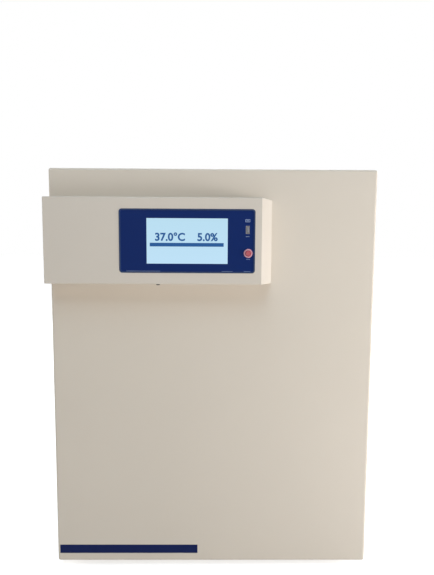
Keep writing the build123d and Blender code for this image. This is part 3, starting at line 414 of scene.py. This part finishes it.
def insideBox(tree, where, low, high):
    # one inside the box, zero outside
    parts = addNode(tree, "ShaderNodeSeparateXYZ", links={"Vector": where.outputs["Object"]})
    spans = []
    for axis, least, most in zip("XYZ", low, high):
        spans.append(addNode(tree, "ShaderNodeMath", {
            "operation": "COMPARE", 1: (least + most) / 2, 2: (most - least) / 2}, {0: parts.outputs[axis]}))
    flat = addNode(tree, "ShaderNodeMath", {"operation": "MULTIPLY"},
                   {0: spans[0].outputs[0], 1: spans[1].outputs[0]})
    return addNode(tree, "ShaderNodeMath", {"operation": "MULTIPLY"},
                   {0: flat.outputs[0], 1: spans[2].outputs[0]})


def setInto(material, colour, metallic, low, high):
    tree = material.node_tree
    shader = next(n for n in tree.nodes if n.type == "BSDF_PRINCIPLED")
    where = next(n for n in tree.nodes if n.type == "TEX_COORD")
    inside = insideBox(tree, where, low, high)
    around = shader.inputs["Base Color"].links[0].from_socket
    colours = addNode(tree, "ShaderNodeMix", {"data_type": "RGBA", 7: linear(colour)},
                      {"Factor": inside.outputs[0], 6: around})
    tree.links.new(colours.outputs[2], shader.inputs["Base Color"])
    ground = shader.inputs["Metallic"].default_value
    if metallic != ground:
        shine = addNode(tree, "ShaderNodeMapRange", {"To Min": ground, "To Max": metallic},
                        {"Value": inside.outputs[0]})
        tree.links.new(shine.outputs["Result"], shader.inputs["Metallic"])


# nickel-plated shell, dull in its shade, round a pale plastic tongue
tongue = {"left": -0.0001, "right": 0.0019, "halfHeight": 0.0054, "sink": 0.0004, "depth": 0.0088,
          "colour": "#B9BECB"}
shellLow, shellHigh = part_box("usb_socket")
shellX = (shellLow.x + shellHigh.x) / 2
shellZ = (shellLow.z + shellHigh.z) / 2
shell = brushedSheet("nickelPlatedSocket", "#6E7178", 0.34)
setInto(shell, tongue["colour"], 0.0,
        (shellX + tongue["left"], shellLow.y + tongue["sink"], shellZ - tongue["halfHeight"]),
        (shellX + tongue["right"], shellLow.y + tongue["depth"], shellZ + tongue["halfHeight"]))
wear("usb_socket", shell)

# black nylon inlet with nickelled brass blades in its mouth
blades = {"halfWidth": 0.0085, "halfHeight": 0.0045, "mouthDepth": 0.0158, "colour": "#C9C2AE"}
inletLow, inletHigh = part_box("mains_inlet")
inletX = (inletLow.x + inletHigh.x) / 2
inletZ = (inletLow.z + inletHigh.z) / 2
inlet = mouldedPart("blackInletNylon", "#1B1B1D", 0.40, ior=1.53)
setInto(inlet, blades["colour"], 1.0,
        (inletX - blades["halfWidth"], inletHigh.y - blades["mouthDepth"], inletZ - blades["halfHeight"]),
        (inletX + blades["halfWidth"], inletHigh.y, inletZ + blades["halfHeight"]))
wear("mains_inlet", inlet)

# glass-fibre board under green solder mask, on brass posts, with black chips above and blue blocks below
boardParts = {"spare": 0.001, "postLength": 0.0099, "faceAt": 0.0117, "brass": "#C9A865", "chips": "#17181A",
              "blocks": "#1F3E78"}  # posts and face counted from the board's rear
boardLow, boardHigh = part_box("control_board")
boardZ = (boardLow.z + boardHigh.z) / 2
board = mouldedPart("solderMaskedBoard", "#1E5A34", 0.35, ior=1.5)
setInto(board, boardParts["brass"], 1.0, (boardLow.x, boardLow.y - boardParts["spare"], boardLow.z),
        (boardHigh.x, boardLow.y + boardParts["postLength"], boardHigh.z))
setInto(board, boardParts["chips"], 0.0, (boardLow.x, boardLow.y + boardParts["faceAt"], boardZ), boardHigh)
setInto(board, boardParts["blocks"], 0.0, (boardLow.x, boardLow.y + boardParts["faceAt"], boardLow.z),
        (boardHigh.x, boardHigh.y, boardZ))
wear("control_board", board)
print("incubator: finishes on the CAD nodes")


# Pieces that the solids don't have. Each is made in place and rides on its body.

def addPiece(name, mesh, body, material=None):
    # a mesh grown by a node tree comes with its material already on it
    piece = bpy.data.objects.new(name, mesh)
    bpy.context.scene.collection.objects.link(piece)
    if material:
        mesh.materials.clear()
        mesh.materials.append(material)
    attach(piece, body)
    return piece


def plateOutline(width, height, corner, steps=6):
    # rounded rectangle, anticlockwise, round its own middle
    points = []
    for number, (sideX, sideZ) in enumerate(((1, 1), (-1, 1), (-1, -1), (1, -1))):
        for step in range(steps + 1):
            angle = math.radians(90 * number + 90 * step / steps)
            points.append((sideX * (width / 2 - corner) + corner * math.cos(angle),
                           sideZ * (height / 2 - corner) + corner * math.sin(angle)))
    return points


def frontPlate(built, outline, x, z, yFront, yBack):
    # thin flat plate that faces the front
    front = [built.verts.new((x + px, yFront, z + pz)) for px, pz in outline]
    back = [built.verts.new((x + px, yBack, z + pz)) for px, pz in outline]
    built.faces.new(front)
    built.faces.new(back[::-1])
    for i in range(len(front)):
        j = (i + 1) % len(front)
        built.faces.new((front[j], front[i], back[i], back[j]))


def meshFrom(name, built):
    bmesh.ops.recalc_face_normals(built, faces=built.faces)
    mesh = bpy.data.meshes.new(name)
    built.to_mesh(mesh)
    built.free()
    return mesh


def frontText(name, words, x, z, size, weight, yFront, depth):
    # plain figures, made a mesh and then set upright on a face that looks to the front
    curve = bpy.data.curves.new(name, "FONT")
    curve.body = words
    curve.size = size
    curve.offset = weight
    curve.extrude = depth / 2
    curve.align_x = "CENTER"
    curve.resolution_u = 4
    holder = bpy.data.objects.new(name, curve)
    bpy.context.scene.collection.objects.link(holder)
    evaluated = holder.evaluated_get(bpy.context.evaluated_depsgraph_get())
    mesh = bpy.data.meshes.new_from_object(evaluated)
    bpy.data.objects.remove(holder)
    upright = Matrix.Rotation(math.radians(90), 4, "X")
    mesh.transform(Matrix.Translation((x, yFront + depth / 2, z)) @ upright)
    return mesh


# What the display shows: plain readings over a plain bar

showing = {
    "readings": "37.0\u00b0C    5.0%",
    "textSize": 0.0205,
    "textWeight": 0.00065,
    "textBase": 0.0008,
    "textMiddle": -0.0018,
    "barWidth": 0.1406,
    "barHeight": 0.0070,
    "barMiddle": -0.0008,
    "barBase": -0.0069,
    "barCorner": 0.0004,
    "inkDepth": 0.0001,
    "colour": "#1C5C9E",
    "glow": 0.8,
    "pane": "#0C1A2C",
}
filmLow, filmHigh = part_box("console_overlay")
filmX = (filmLow.x + filmHigh.x) / 2
filmZ = (filmLow.z + filmHigh.z) / 2
filmFront = filmLow.y


def displayInk():
    # dark blue picture elements of the lit display
    material, tree = newMaterial("displayBlue")
    where = addNode(tree, "ShaderNodeTexCoord")
    dots = addNode(tree, "ShaderNodeTexNoise", {"Scale": 900.0}, {"Vector": where.outputs["Object"]})
    tone = addNode(tree, "ShaderNodeMapRange", {"To Min": 0.95, "To Max": 1.05},
                   {"Value": dots.outputs["Fac"]})
    tint = addNode(tree, "ShaderNodeHueSaturation", {"Color": linear(showing["colour"])},
                   {"Value": tone.outputs["Result"]})
    ink = addNode(tree, "ShaderNodeBsdfPrincipled",
                  {"Base Color": linear(showing["pane"]), "Roughness": 0.12, "IOR": 1.52,
                   "Specular IOR Level": 0.1, "Emission Strength": showing["glow"]},
                  {"Emission Color": tint.outputs["Color"]})
    closeMaterial(tree, ink)
    return material


blue = displayInk()
inkFront = filmFront - showing["inkDepth"]
readings = frontText("displayReadings", showing["readings"], filmX + showing["textMiddle"],
                     filmZ + showing["textBase"], showing["textSize"], showing["textWeight"], inkFront,
                     showing["inkDepth"])
addPiece("displayReadings", readings, "outer_door", blue)
built = bmesh.new()
frontPlate(built, plateOutline(showing["barWidth"], showing["barHeight"], showing["barCorner"], 2),
           filmX + showing["barMiddle"], filmZ + showing["barBase"], inkFront, filmFront)
addPiece("displayBar", meshFrom("displayBar", built), "outer_door", blue)


# Printed marks on the film: a plain sign over the socket, and short plain bars

marks = {
    "colour": "#8FA2C4",
    "socketX": 0.0657,
    "signZ": 0.7290,
    "signWidth": 0.0090,
    "signHeight": 0.0052,
    "signLine": 0.0009,
    "dashWidth": 0.0045,
    "dashHeight": 0.0012,
    "socketBarZ": 0.6990,
    "buttonX": 0.0669,
    "buttonBarZ": 0.6560,
    "barWidth": 0.0016,
    "barHeight": 0.0011,
    "barStep": 0.0024,
    "corner": 0.0002,
    "depth": 0.00005,
}


def addFrame(built, x, z, width, height, line, yFront, yBack):
    # four thin bars round a small rectangle
    lying = plateOutline(width, line, line / 4, 1)
    standing = plateOutline(line, height - 2 * line, line / 4, 1)
    for side in (-1, 1):
        frontPlate(built, lying, x, z + side * (height - line) / 2, yFront, yBack)
        frontPlate(built, standing, x + side * (width - line) / 2, z, yFront, yBack)


built = bmesh.new()
markFront = filmFront - marks["depth"]
addFrame(built, marks["socketX"], marks["signZ"], marks["signWidth"], marks["signHeight"], marks["signLine"],
         markFront, filmFront)
frontPlate(built, plateOutline(marks["dashWidth"], marks["dashHeight"], marks["corner"], 1),
           marks["socketX"], marks["signZ"], markFront, filmFront)
shortBar = plateOutline(marks["barWidth"], marks["barHeight"], marks["corner"], 1)
for x, z in ((marks["socketX"], marks["socketBarZ"]), (marks["buttonX"], marks["buttonBarZ"])):
    for step in (-1, 0, 1):
        frontPlate(built, shortBar, x + step * marks["barStep"], z, markFront, filmFront)
# screen-printed ink: pale, flat, half dull
paleInk = mouldedPart("paleScreenInk", marks["colour"], 0.5)
addPiece("filmMarks", meshFrom("filmMarks", built), "outer_door", paleInk)


# Three pale strips along the film's lower edge: a painted highlight where that edge catches the light

filmEdgeGlint = {
    "places": ((-0.1330, 0.065), (0.0270, 0.021), (0.0653, 0.013)),  # middle and length
    "height": 0.0006,
    "rise": 0.0005,
    "depth": 0.0001,
    # colour of the painted highlight on the film's edge
    "colour": "#7E93BC",
}
built = bmesh.new()
for x, length in filmEdgeGlint["places"]:
    frontPlate(built, plateOutline(length, filmEdgeGlint["height"], filmEdgeGlint["height"] / 4, 1), x,
               filmLow.z + filmEdgeGlint["rise"], filmFront - filmEdgeGlint["depth"], filmFront)
# pale blue paint along the film's edge: a thin painted highlight, not a colour of the film
glintPaint = mouldedPart("paintedFilmEdgeGlint", filmEdgeGlint["colour"], 0.25)
addPiece("liftedFilmEdge", meshFrom("liftedFilmEdge", built), "outer_door", glintPaint)


# Plain dark band at the door's foot, cut from vinyl film

band = {"left": -0.3195, "right": -0.0300, "low": 0.0340, "high": 0.0525, "depth": 0.0002, "corner": 0.0008,
        "colour": "#192453"}
doorLow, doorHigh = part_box("door_skin")
built = bmesh.new()
frontPlate(built, plateOutline(band["right"] - band["left"], band["high"] - band["low"], band["corner"], 3),
           (band["left"] + band["right"]) / 2, (band["low"] + band["high"]) / 2, doorLow.y - band["depth"],
           doorLow.y)
# cast vinyl: deep navy, flat, very little shine
vinyl = mouldedPart("navyCastVinyl", band["colour"], 0.40, grain=0.0007, depth=0.000004, ior=1.53, gloss=0.04)
addPiece("doorBand", meshFrom("doorBand", built), "outer_door", vinyl)
print("incubator: display, marks and band")


# Screws, set by one node tree: a head is put on each place, turned by chance, and made one mesh

headShape = {
    "sides": 20,
    "profile": ((1.0, 0.0), (1.0, 0.35), (0.86, 0.8), (0.55, 1.0)),  # shares of the radius and the height
    "crossReach": 0.46,
    "pitTaper": 0.7,
}
headSizes = {
    "panHead": {"radius": 0.0038, "height": 0.0022, "slot": 0.0011, "depth": 0.0012},
    "smallHead": {"radius": 0.0030, "height": 0.0014, "slot": 0.0009, "depth": 0.0008},
}


def headMesh(name, radius, height, slot, depth):
    # pan head with a cross recess, its face towards +Z, seated at zero
    built = bmesh.new()
    sides = headShape["sides"]
    levels = []
    for wide, high in headShape["profile"]:
        levels.append([built.verts.new((wide * radius * math.cos(math.tau * i / sides),
                                        wide * radius * math.sin(math.tau * i / sides), high * height))
                       for i in range(sides)])
    for lower, upper in zip(levels, levels[1:]):
        for i in range(sides):
            j = (i + 1) % sides
            built.faces.new((lower[i], lower[j], upper[j], upper[i]))
    built.faces.new(levels[0][::-1])
    arm = radius * headShape["crossReach"]
    half = slot / 2
    taper = headShape["pitTaper"]
    cross = [(arm, -half), (arm, half), (half, half), (half, arm), (-half, arm), (-half, half), (-arm, half),
             (-arm, -half), (-half, -half), (-half, -arm), (half, -arm), (half, -half)]
    mouth = [built.verts.new((x, y, height)) for x, y in cross]
    pit = [built.verts.new((x * taper, y * taper, height - depth)) for x, y in cross]
    for i in range(len(cross)):
        j = (i + 1) % len(cross)
        built.faces.new((mouth[i], mouth[j], pit[j], pit[i]))
    built.faces.new(pit)
    # the ring between the head's rim and the mouth is still open
    openEdges = [edge for edge in built.edges if len(edge.link_faces) == 1]
    bmesh.ops.triangle_fill(built, use_beauty=True, edges=openEdges)
    return meshFrom(name, built)


def screwTree():
    tree = bpy.data.node_groups.new("setScrews", "GeometryNodeTree")
    for name, kind in (("Places", "Geometry"), ("Head", "Object"), ("Facing", "Rotation"),
                       ("Chance", "Int"), ("Material", "Material")):
        tree.interface.new_socket(name=name, in_out="INPUT", socket_type="NodeSocket" + kind)
    tree.interface.new_socket(name="Geometry", in_out="OUTPUT", socket_type="NodeSocketGeometry")
    start = addNode(tree, "NodeGroupInput")
    head = addNode(tree, "GeometryNodeObjectInfo", links={"Object": start.outputs["Head"]})
    spin = addNode(tree, "FunctionNodeRandomValue",
                   {"data_type": "FLOAT_VECTOR", 0: (0, 0, 0), 1: (0, 0, math.tau)},
                   {"Seed": start.outputs["Chance"]})
    placed = addNode(tree, "GeometryNodeInstanceOnPoints", links={
        "Points": start.outputs["Places"], "Instance": head.outputs["Geometry"],
        "Rotation": start.outputs["Facing"]})
    turned = addNode(tree, "GeometryNodeRotateInstances", links={
        "Instances": placed.outputs["Instances"], "Rotation": spin.outputs[0]})
    joined = addNode(tree, "GeometryNodeRealizeInstances", links={"Geometry": turned.outputs["Instances"]})
    coated = addNode(tree, "GeometryNodeSetMaterial", links={
        "Geometry": joined.outputs["Geometry"], "Material": start.outputs["Material"]})
    addNode(tree, "NodeGroupOutput", links={"Geometry": coated.outputs["Geometry"]})
    return tree


def grow(tree, base, settings):
    # gives the tree's inputs by identifier, evaluates once, and keeps the result as a plain mesh
    holder = bpy.data.objects.new("holder", base)
    bpy.context.scene.collection.objects.link(holder)
    modifier = holder.modifiers.new("grow", "NODES")
    modifier.node_group = tree
    sockets = {item.name: item.identifier for item in tree.interface.items_tree
               if item.item_type == "SOCKET" and item.in_out == "INPUT"}
    for name, value in settings.items():
        modifier[sockets[name]] = value
    evaluated = holder.evaluated_get(bpy.context.evaluated_depsgraph_get())
    mesh = bpy.data.meshes.new_from_object(evaluated)
    bpy.data.objects.remove(holder)
    return mesh


def placesMesh(points):
    mesh = bpy.data.meshes.new("places")
    mesh.from_pydata(points, [], [])
    return mesh


facings = {
    "back": (math.radians(-90), 0, 0),
    "front": (math.radians(90), 0, 0),
    "right": (0, math.radians(90), 0),
    "down": (math.radians(180), 0, 0),
}
heads = {}
for name, size in headSizes.items():
    heads[name] = bpy.data.objects.new(name, headMesh(name, **size))
    bpy.context.scene.collection.objects.link(heads[name])
setScrews = screwTree()


def addScrews(name, points, head, facing, body, finish, chance):
    mesh = grow(setScrews, placesMesh(points), {
        "Head": heads[head], "Facing": facings[facing], "Chance": chance, "Material": finishes[finish]})
    mesh.name = name
    return addPiece(name, mesh, body, None)


def spaced(start, end, count):
    return [start + (end - start) * i / (count - 1) for i in range(count)]


# round the rear panel's border
border = {"inset": 0.009, "across": 5, "up": 7}
backLow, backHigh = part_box("back_panel")
left, right = backLow.x + border["inset"], backHigh.x - border["inset"]
low, high = backLow.z + border["inset"], backHigh.z - border["inset"]
places = [(x, backHigh.y, z) for x in spaced(left, right, border["across"]) for z in (low, high)]
places += [(x, backHigh.y, z) for z in spaced(low, high, border["up"])[1:-1] for x in (left, right)]
addScrews("backPanelScrews", places, "panHead", "back", "cabinet", "hingeSteel", 3)

# at the duct's corners and the middle of its sides
ductInset = {"side": 0.012, "end": 0.014}
ductLow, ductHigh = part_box("air_duct_panel")
places = [(x, ductLow.y, z) for x in (ductLow.x + ductInset["side"], ductHigh.x - ductInset["side"])
          for z in spaced(ductLow.z + ductInset["end"], ductHigh.z - ductInset["end"], 3)]
addScrews("ductScrews", places, "panHead", "front", "cabinet", "chamberSteel", 5)

# four in each hinge leaf, counted from the edge away from its pin
leaf = {"thickness": 0.0025, "along": (0.010, 0.034), "inset": 0.012}
for end in ("lower", "upper"):
    for owner, body, chance in (("cabinet", "cabinet", 7), ("door", "outer_door", 11)):
        leafLow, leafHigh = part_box(owner + "_hinge_" + end)
        if owner == "cabinet":
            columns = [leafHigh.y - along for along in leaf["along"]]
        else:
            columns = [leafLow.y + along for along in leaf["along"]]
        places = [(doorHigh.x + leaf["thickness"], y, z) for y in columns
                  for z in (leafLow.z + leaf["inset"], leafHigh.z - leaf["inset"])]
        addScrews(owner + "HingeScrews_" + end, places, "smallHead", "right", body, "hingeSteel",
                  chance)

# one under the console
consoleScrew = {"x": -0.1058, "behindFront": 0.0065}
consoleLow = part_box("console_housing")[0]
addScrews("consoleScrew", [(consoleScrew["x"], consoleLow.y + consoleScrew["behindFront"], consoleLow.z)],
          "panHead", "down", "outer_door", "blackPlastic", 2)
for head in heads.values():
    bpy.data.objects.remove(head)
print("incubator: screws set")


# Door gasket: its section swept round the door by a node tree

gasket = {
    # half of the section in millimetres: foot, bellows and magnet head
    "section": ((7.0, 0.0), (7.0, 1.5), (4.3, 2.3), (5.6, 4.0), (4.3, 5.7), (6.7, 7.0), (7.0, 8.2),
                (7.0, 10.8), (6.0, 11.9)),
    "corner": 0.015,
    "cornerSteps": 8,
}
gasketLow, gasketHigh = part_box("door_gasket")


def sweepTree():
    tree = bpy.data.node_groups.new("sweepRoundDoor", "GeometryNodeTree")
    for name, kind in (("Section", "Geometry"), ("Width", "Float"), ("Height", "Float"), ("Corner", "Float"),
                       ("Corner Steps", "Int"), ("Middle", "Vector"), ("Material", "Material")):
        tree.interface.new_socket(name=name, in_out="INPUT", socket_type="NodeSocket" + kind)
    tree.interface.new_socket(name="Geometry", in_out="OUTPUT", socket_type="NodeSocketGeometry")
    start = addNode(tree, "NodeGroupInput")
    frameCurve = addNode(tree, "GeometryNodeCurvePrimitiveQuadrilateral", links={
        "Width": start.outputs["Width"], "Height": start.outputs["Height"]})
    rounded = addNode(tree, "GeometryNodeFilletCurve", {"mode": "POLY"}, {
        "Curve": frameCurve.outputs["Curve"], "Radius": start.outputs["Corner"],
        "Count": start.outputs["Corner Steps"]})
    steady = addNode(tree, "GeometryNodeSetCurveNormal", {"mode": "Z_UP"},
                     {"Curve": rounded.outputs["Curve"]})
    section = addNode(tree, "GeometryNodeMeshToCurve", links={"Mesh": start.outputs["Section"]})
    swept = addNode(tree, "GeometryNodeCurveToMesh", links={
        "Curve": steady.outputs["Curve"], "Profile Curve": section.outputs["Curve"]})
    stood = addNode(tree, "GeometryNodeTransform", {"Rotation": (math.radians(90), 0, 0)}, {
        "Geometry": swept.outputs["Mesh"], "Translation": start.outputs["Middle"]})
    joined = addNode(tree, "GeometryNodeRealizeInstances", links={"Geometry": stood.outputs["Geometry"]})
    coated = addNode(tree, "GeometryNodeSetMaterial", links={
        "Geometry": joined.outputs["Geometry"], "Material": start.outputs["Material"]})
    addNode(tree, "NodeGroupOutput", links={"Geometry": coated.outputs["Geometry"]})
    return tree


half = [(u / 1000, v / 1000) for u, v in gasket["section"]]
loop = half + [(-u, v) for u, v in half[::-1]]
sectionMesh = bpy.data.meshes.new("gasketSection")
sectionMesh.from_pydata([(u, v, 0) for u, v in loop], [(i, (i + 1) % len(loop)) for i in range(len(loop))],
                        [])
gasketWidth = 2 * half[0][0]
swept = grow(sweepTree(), sectionMesh, {
    "Width": gasketHigh.x - gasketLow.x - gasketWidth, "Height": gasketHigh.z - gasketLow.z - gasketWidth,
    "Corner": gasket["corner"], "Corner Steps": gasket["cornerSteps"],
    "Middle": ((gasketLow.x + gasketHigh.x) / 2, gasketLow.y, (gasketLow.z + gasketHigh.z) / 2),
    "Material": finishes["doorRubber"]})
seal = addPiece("doorGasket", swept, "outer_door", None)
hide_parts("door_gasket")
print("incubator: gasket swept")


# Louvre hoods over the rear vents, one pressed hood repeated down each row

louvre = {
    "out": 0.0042,
    "wall": 0.0009,
    "height": 0.0095,
    "width": 0.074,
    "steps": 8,
    "endFit": 0.97,  # the ends sit just inside the sheet
    "count": 6,
    "pitch": 0.014,
    "low": 0.3855,
    "fromMiddle": 0.215,
}


def hoodMesh():
    # a quarter-round sheet that hangs over its slot, closed at both ends, its back on the panel at zero
    built = bmesh.new()
    half = louvre["width"] / 2
    outer = []
    inner = []
    for step in range(louvre["steps"] + 1):
        angle = math.radians(90 * step / louvre["steps"])
        outer.append((louvre["out"] * math.sin(angle), louvre["height"] * math.cos(angle)))
        inner.append(((louvre["out"] - louvre["wall"]) * math.sin(angle),
                      (louvre["height"] - louvre["wall"]) * math.cos(angle)))
    section = outer + inner[::-1]
    left = [built.verts.new((-half, y, z)) for y, z in section]
    right = [built.verts.new((half, y, z)) for y, z in section]
    for i in range(len(section)):
        j = (i + 1) % len(section)
        built.faces.new((left[i], left[j], right[j], right[i]))
    for i in range(louvre["steps"]):
        k = len(section) - 1 - i
        built.faces.new((left[i + 1], left[i], left[k], left[k - 1]))
        built.faces.new((right[i], right[i + 1], right[k - 1], right[k]))
    ends = [(y * louvre["endFit"], z * louvre["endFit"]) for y, z in [(0.0, 0.0)] + outer]
    for x0, x1 in ((-half, -half + louvre["wall"]), (half - louvre["wall"], half)):
        near = [built.verts.new((x0, y, z)) for y, z in ends]
        far = [built.verts.new((x1, y, z)) for y, z in ends]
        built.faces.new(near)
        built.faces.new(far[::-1])
        for i in range(len(ends)):
            j = (i + 1) % len(ends)
            built.faces.new((near[i], near[j], far[j], far[i]))
    return meshFrom("louvreHood", built)


def rowTree():
    tree = bpy.data.node_groups.new("repeatInRow", "GeometryNodeTree")
    for name, kind in (("Item", "Geometry"), ("Count", "Int"), ("First", "Vector"), ("Step", "Vector"),
                       ("Material", "Material")):
        tree.interface.new_socket(name=name, in_out="INPUT", socket_type="NodeSocket" + kind)
    tree.interface.new_socket(name="Geometry", in_out="OUTPUT", socket_type="NodeSocketGeometry")
    start = addNode(tree, "NodeGroupInput")
    row = addNode(tree, "GeometryNodeMeshLine", {"mode": "OFFSET"}, {
        "Count": start.outputs["Count"], "Start Location": start.outputs["First"],
        "Offset": start.outputs["Step"]})
    placed = addNode(tree, "GeometryNodeInstanceOnPoints", links={
        "Points": row.outputs["Mesh"], "Instance": start.outputs["Item"]})
    joined = addNode(tree, "GeometryNodeRealizeInstances", links={"Geometry": placed.outputs["Instances"]})
    coated = addNode(tree, "GeometryNodeSetMaterial", links={
        "Geometry": joined.outputs["Geometry"], "Material": start.outputs["Material"]})
    addNode(tree, "NodeGroupOutput", links={"Geometry": coated.outputs["Geometry"]})
    return tree


repeatInRow = rowTree()
for side, name in ((-1, "left"), (1, "right")):
    row = grow(repeatInRow, hoodMesh(), {
        "Count": louvre["count"], "First": (side * louvre["fromMiddle"], backHigh.y, louvre["low"]),
        "Step": (0, 0, louvre["pitch"]), "Material": finishes["zincSheet"]})
    addPiece("ventHoods_" + name, row, "cabinet", None)
print("incubator: vent hoods set")
